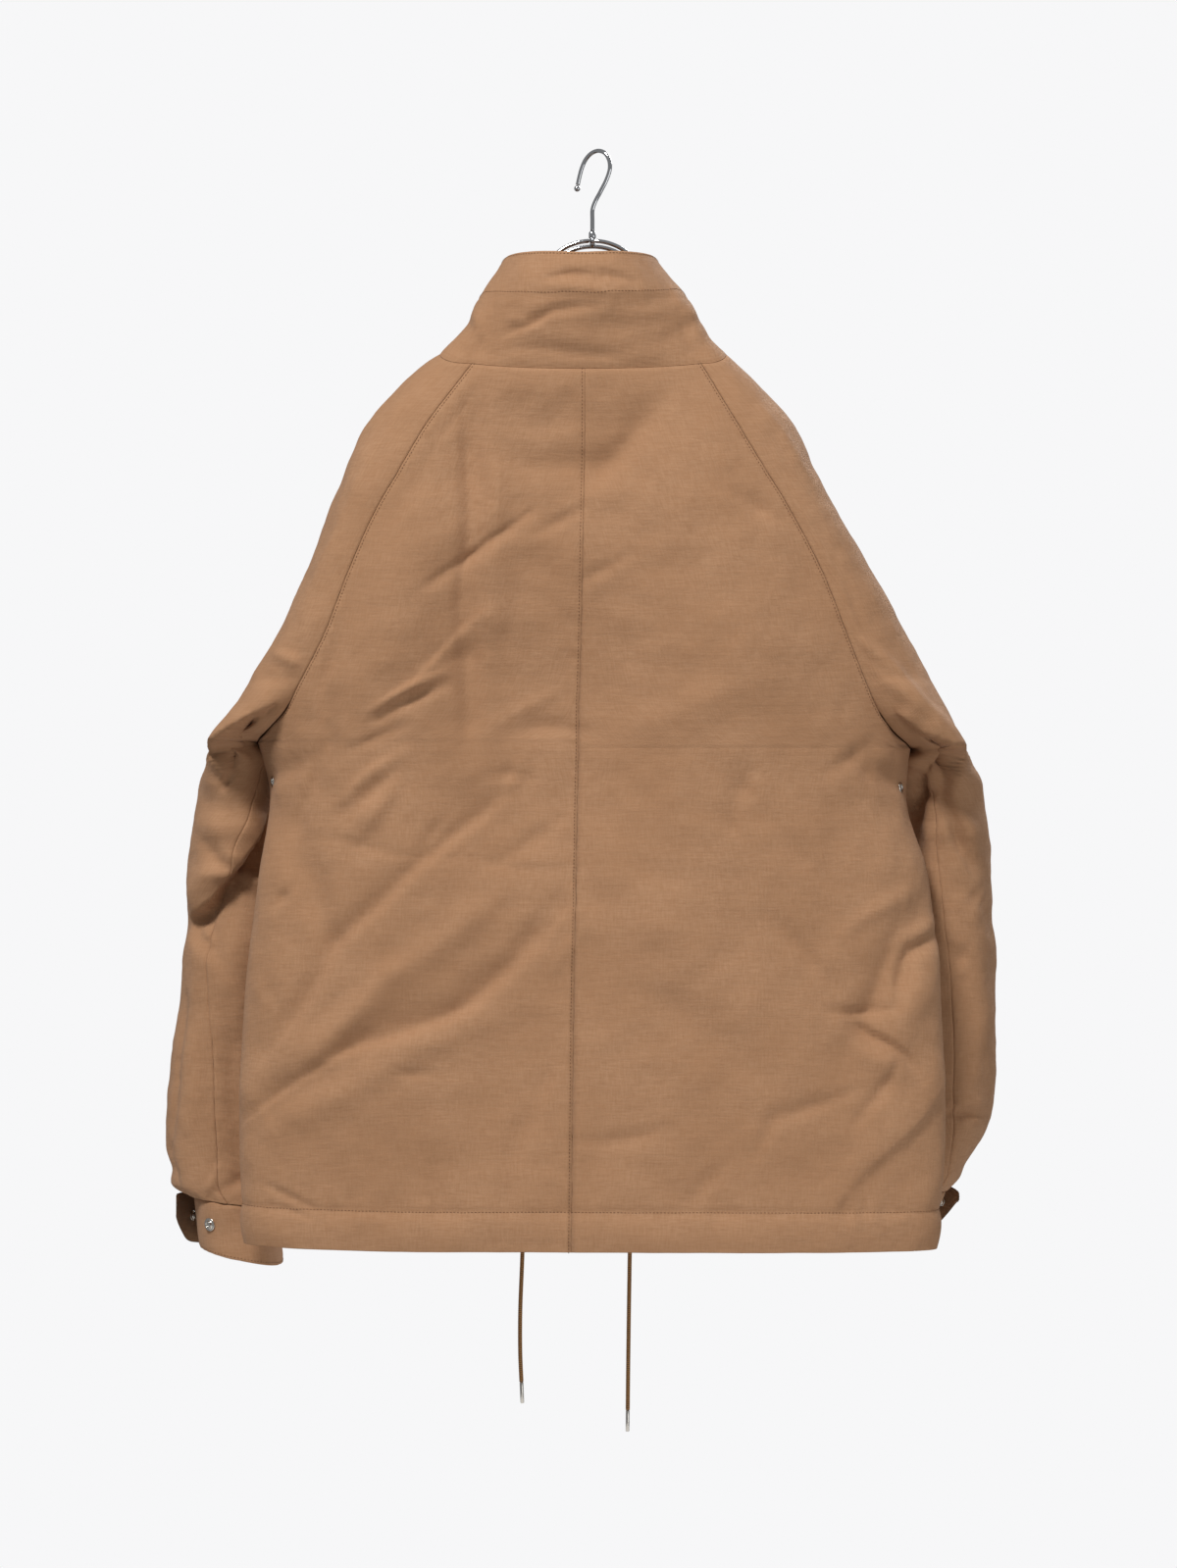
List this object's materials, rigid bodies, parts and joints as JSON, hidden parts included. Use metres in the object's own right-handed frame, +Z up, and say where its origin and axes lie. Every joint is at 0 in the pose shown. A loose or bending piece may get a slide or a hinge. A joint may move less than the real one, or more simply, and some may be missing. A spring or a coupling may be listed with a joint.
{
  "type": "field jacket on a hanger",
  "caption": "Hip-length cotton jacket with raglan sleeves, a tall stand collar, snap closure, strapped cuffs and a hem drawcord, on a wire hanger.",
  "frame": {"origin": "the underside of the hanger hook's top, where the rail carries it", "axes": "+Z up; -Y out of the jacket's back, towards the camera; +X to the right as the back is looked at"},
  "size_m": [0.7, 0.2108, 1.0748],
  "materials": {
    "cotton": "matt plain weave",
    "strap_cotton": "matt, darker underside",
    "cord": "two-tone braid",
    "snap_metal": "polished nickel",
    "hanger_chrome": "polished"
  },
  "bodies": {
    "root": {"back_left": "cotton", "back_right": "cotton", "front_left": "cotton", "front_right": "cotton", "sleeve_left": "cotton", "sleeve_right": "cotton", "cuff_left": "cotton", "cuff_right": "cotton", "collar": "cotton", "collar_placket": "cotton", "front_placket": "cotton", "cuff_tab_left": "strap_cotton", "cuff_tab_right": "strap_cotton", "cord_left": "cord", "cord_right": "cord", "cord_tip_left": "snap_metal", "cord_tip_right": "snap_metal", "hem_eyelet_left": "snap_metal", "hem_eyelet_right": "snap_metal", "vent_eyelet_left": "snap_metal", "vent_eyelet_right": "snap_metal", "cuff_stud_left": "snap_metal", "cuff_stud_right": "snap_metal", "cuff_socket_left": "snap_metal", "cuff_socket_right": "snap_metal", "front_snap_1": "snap_metal", "front_snap_2": "snap_metal", "front_snap_3": "snap_metal", "front_snap_4": "snap_metal", "front_snap_5": "snap_metal", "collar_snap": "snap_metal", "hanger_hook": "hanger_chrome", "hanger_ball": "hanger_chrome", "hanger_nut": "hanger_chrome", "hanger_bar": "hanger_chrome", "hanger_frame": "hanger_chrome"}
  },
  "joints": []
}
